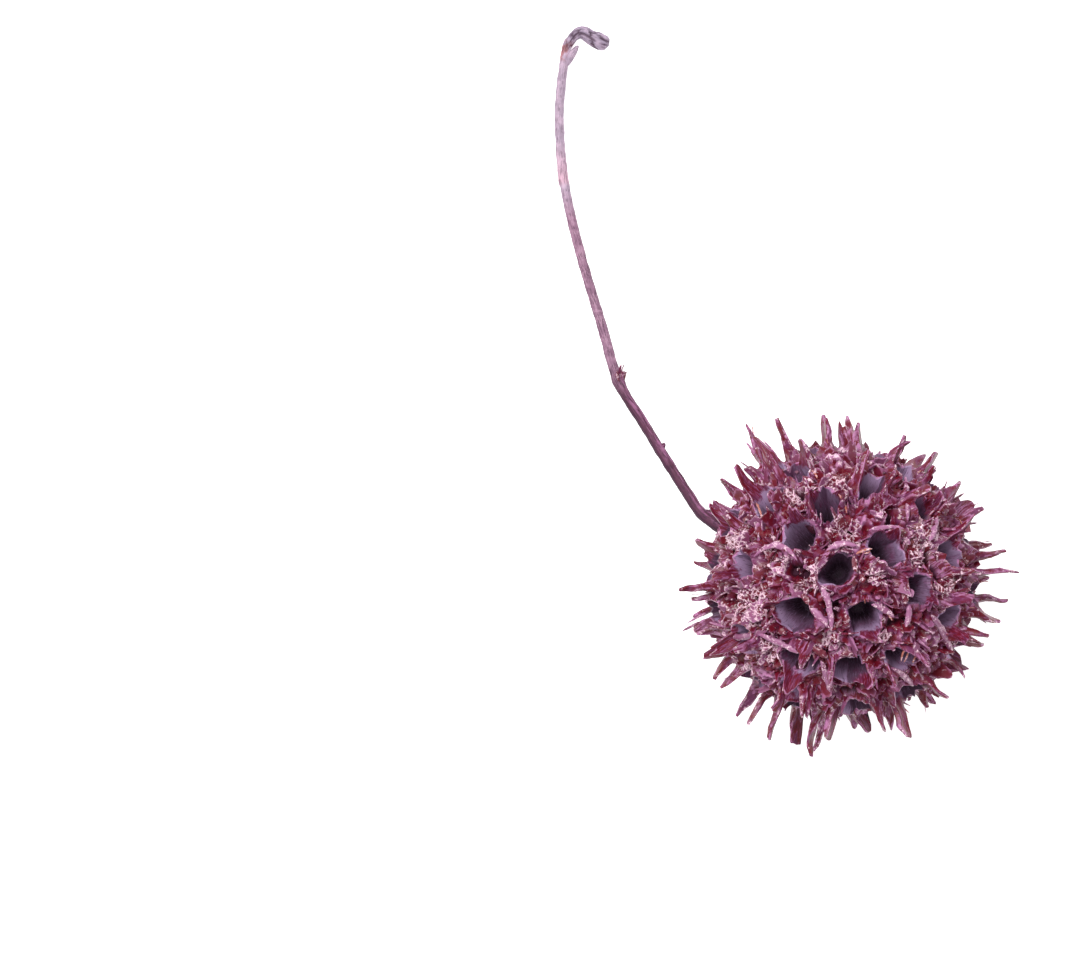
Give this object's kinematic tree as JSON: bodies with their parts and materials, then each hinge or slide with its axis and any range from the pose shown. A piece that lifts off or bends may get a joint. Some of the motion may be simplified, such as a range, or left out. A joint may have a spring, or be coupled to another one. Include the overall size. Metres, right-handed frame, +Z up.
{
  "type": "sweetgum seed ball",
  "caption": "Dry sweetgum seed ball on its long bent stem: open two-beaked capsules fused in a spiky round head, dyed plum, lying on a surface.",
  "frame": {"origin": "on the surface that the part lies on, under the middle of its box", "axes": "+Z up from the surface; +Y along the part's length, from the head towards the foot of the stem; +X to the right, seen from above with +Y away"},
  "size_m": [0.05, 0.0804, 0.0335],
  "materials": {
    "husk": "dyed and dusted, rough with a slight sheen on bare edges",
    "bark": "dyed, matte and finely ridged"
  },
  "bodies": {
    "root": {"seed_head": "husk", "stem": "bark"}
  },
  "joints": []
}
